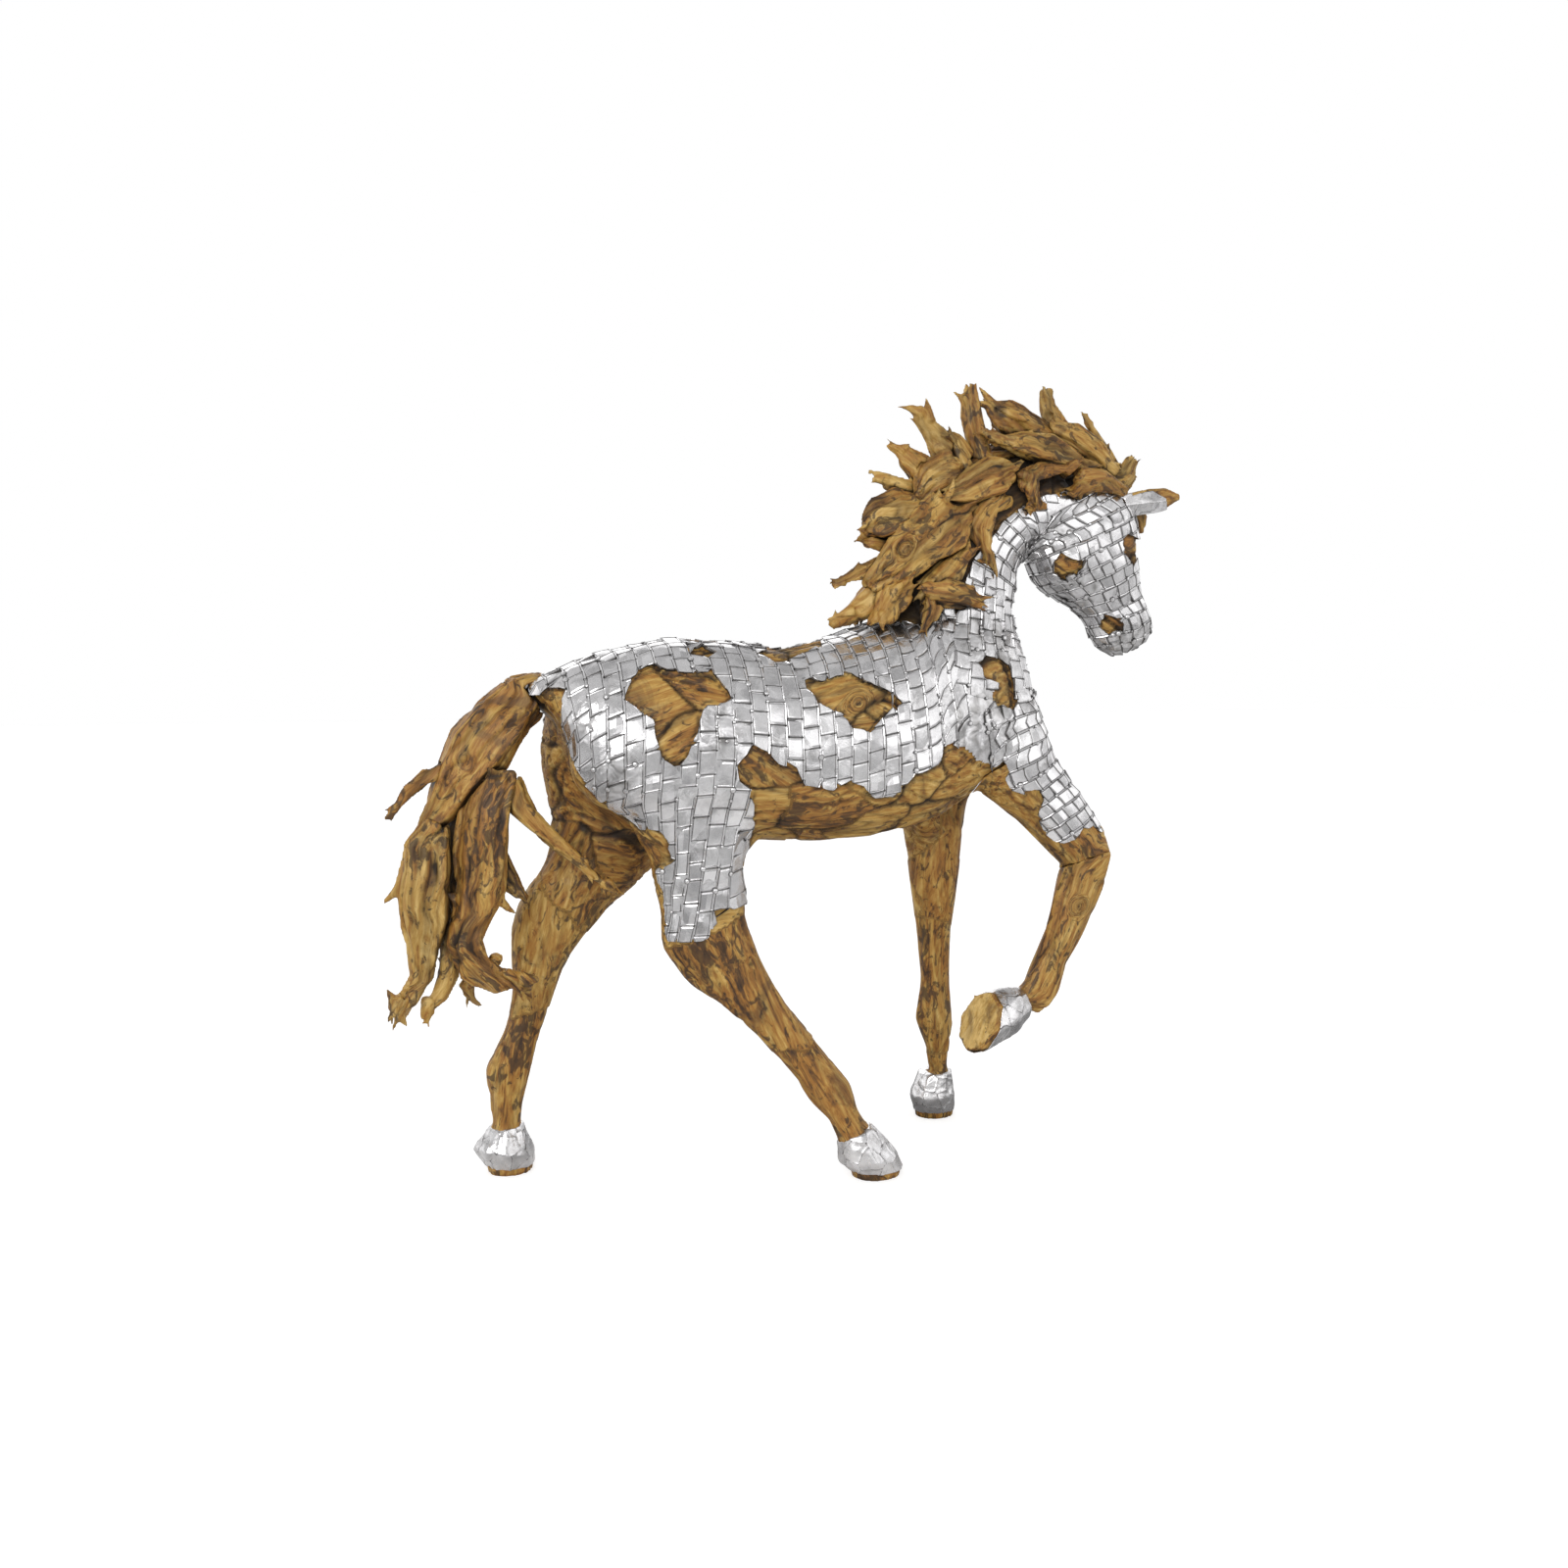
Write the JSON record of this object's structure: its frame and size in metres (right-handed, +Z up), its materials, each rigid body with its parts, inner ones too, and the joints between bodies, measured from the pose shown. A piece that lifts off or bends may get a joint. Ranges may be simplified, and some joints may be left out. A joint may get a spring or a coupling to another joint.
{
  "type": "walking horse sculpture of teak root and metal tiles",
  "caption": "Life-size walking horse of carved teak root, its back, neck and head clad in nailed metal tiles, with a mane and tail of split roots. Stands on its own hooves.",
  "frame": {"origin": "on the floor, under the middle of the horse's box", "axes": "+X the way the horse walks, +Y to its left, +Z up"},
  "size_m": [2.2976, 0.5844, 2.1797],
  "materials": {
    "teak_root": "oiled and weathered, streaky grain with dark blotches",
    "dark_teak_root": "oiled and weathered, darker and in shade",
    "nailed_metal": "polished thin tiles, dented and nailed, with raised seams"
  },
  "bodies": {
    "root": {"body_and_head": "teak_root", "right_hind_leg": "teak_root", "left_hind_leg": "teak_root", "left_foreleg": "teak_root", "right_forearm": "teak_root", "right_fore_cannon": "teak_root", "metal_skin": "nailed_metal", "right_hind_hoof_metal": "nailed_metal", "left_hind_hoof_metal": "nailed_metal", "left_fore_hoof_metal": "nailed_metal", "right_fore_hoof_metal": "nailed_metal", "right_ear": "teak_root", "right_ear_metal": "nailed_metal", "left_ear": "teak_root", "forelock": "teak_root", "mane_ridge_low": "teak_root", "mane_ridge_middle": "teak_root", "mane_ridge_high": "teak_root", "mane_crest_tall": "teak_root", "mane_crest_thorn": "teak_root", "mane_crest_hook": "teak_root", "mane_crest_blade": "teak_root", "mane_crest_stub": "teak_root", "mane_poll_spur": "teak_root", "mane_poll_knot": "teak_root", "mane_long_blade": "teak_root", "mane_top_blade": "teak_root", "mane_temple_leaf": "teak_root", "mane_temple_claw": "teak_root", "mane_heart": "teak_root", "mane_upper_rear": "teak_root", "mane_rear_fork": "teak_root", "mane_rear_thorn": "teak_root", "mane_fringe": "teak_root", "mane_fringe_low": "teak_root", "mane_great_leaf": "teak_root", "mane_spike": "teak_root", "mane_hanging_claw": "teak_root", "mane_low_wedge": "teak_root", "mane_low_ragged": "teak_root", "mane_low_knot": "teak_root", "mane_low_stub": "teak_root", "mane_withers_root": "teak_root", "left_mane_poll": "dark_teak_root", "left_mane_top": "dark_teak_root", "left_mane_heart": "dark_teak_root", "left_mane_rear": "dark_teak_root", "left_mane_leaf": "dark_teak_root", "left_mane_wedge": "dark_teak_root", "left_mane_withers": "dark_teak_root", "tail_stock": "teak_root", "tail_rear_prong": "teak_root", "tail_main_lock": "teak_root", "tail_branch": "teak_root", "tail_inner_prong": "teak_root", "tail_rear_lock": "teak_root", "tail_hanging_lock": "teak_root", "tail_left_lock": "teak_root"}
  },
  "joints": []
}
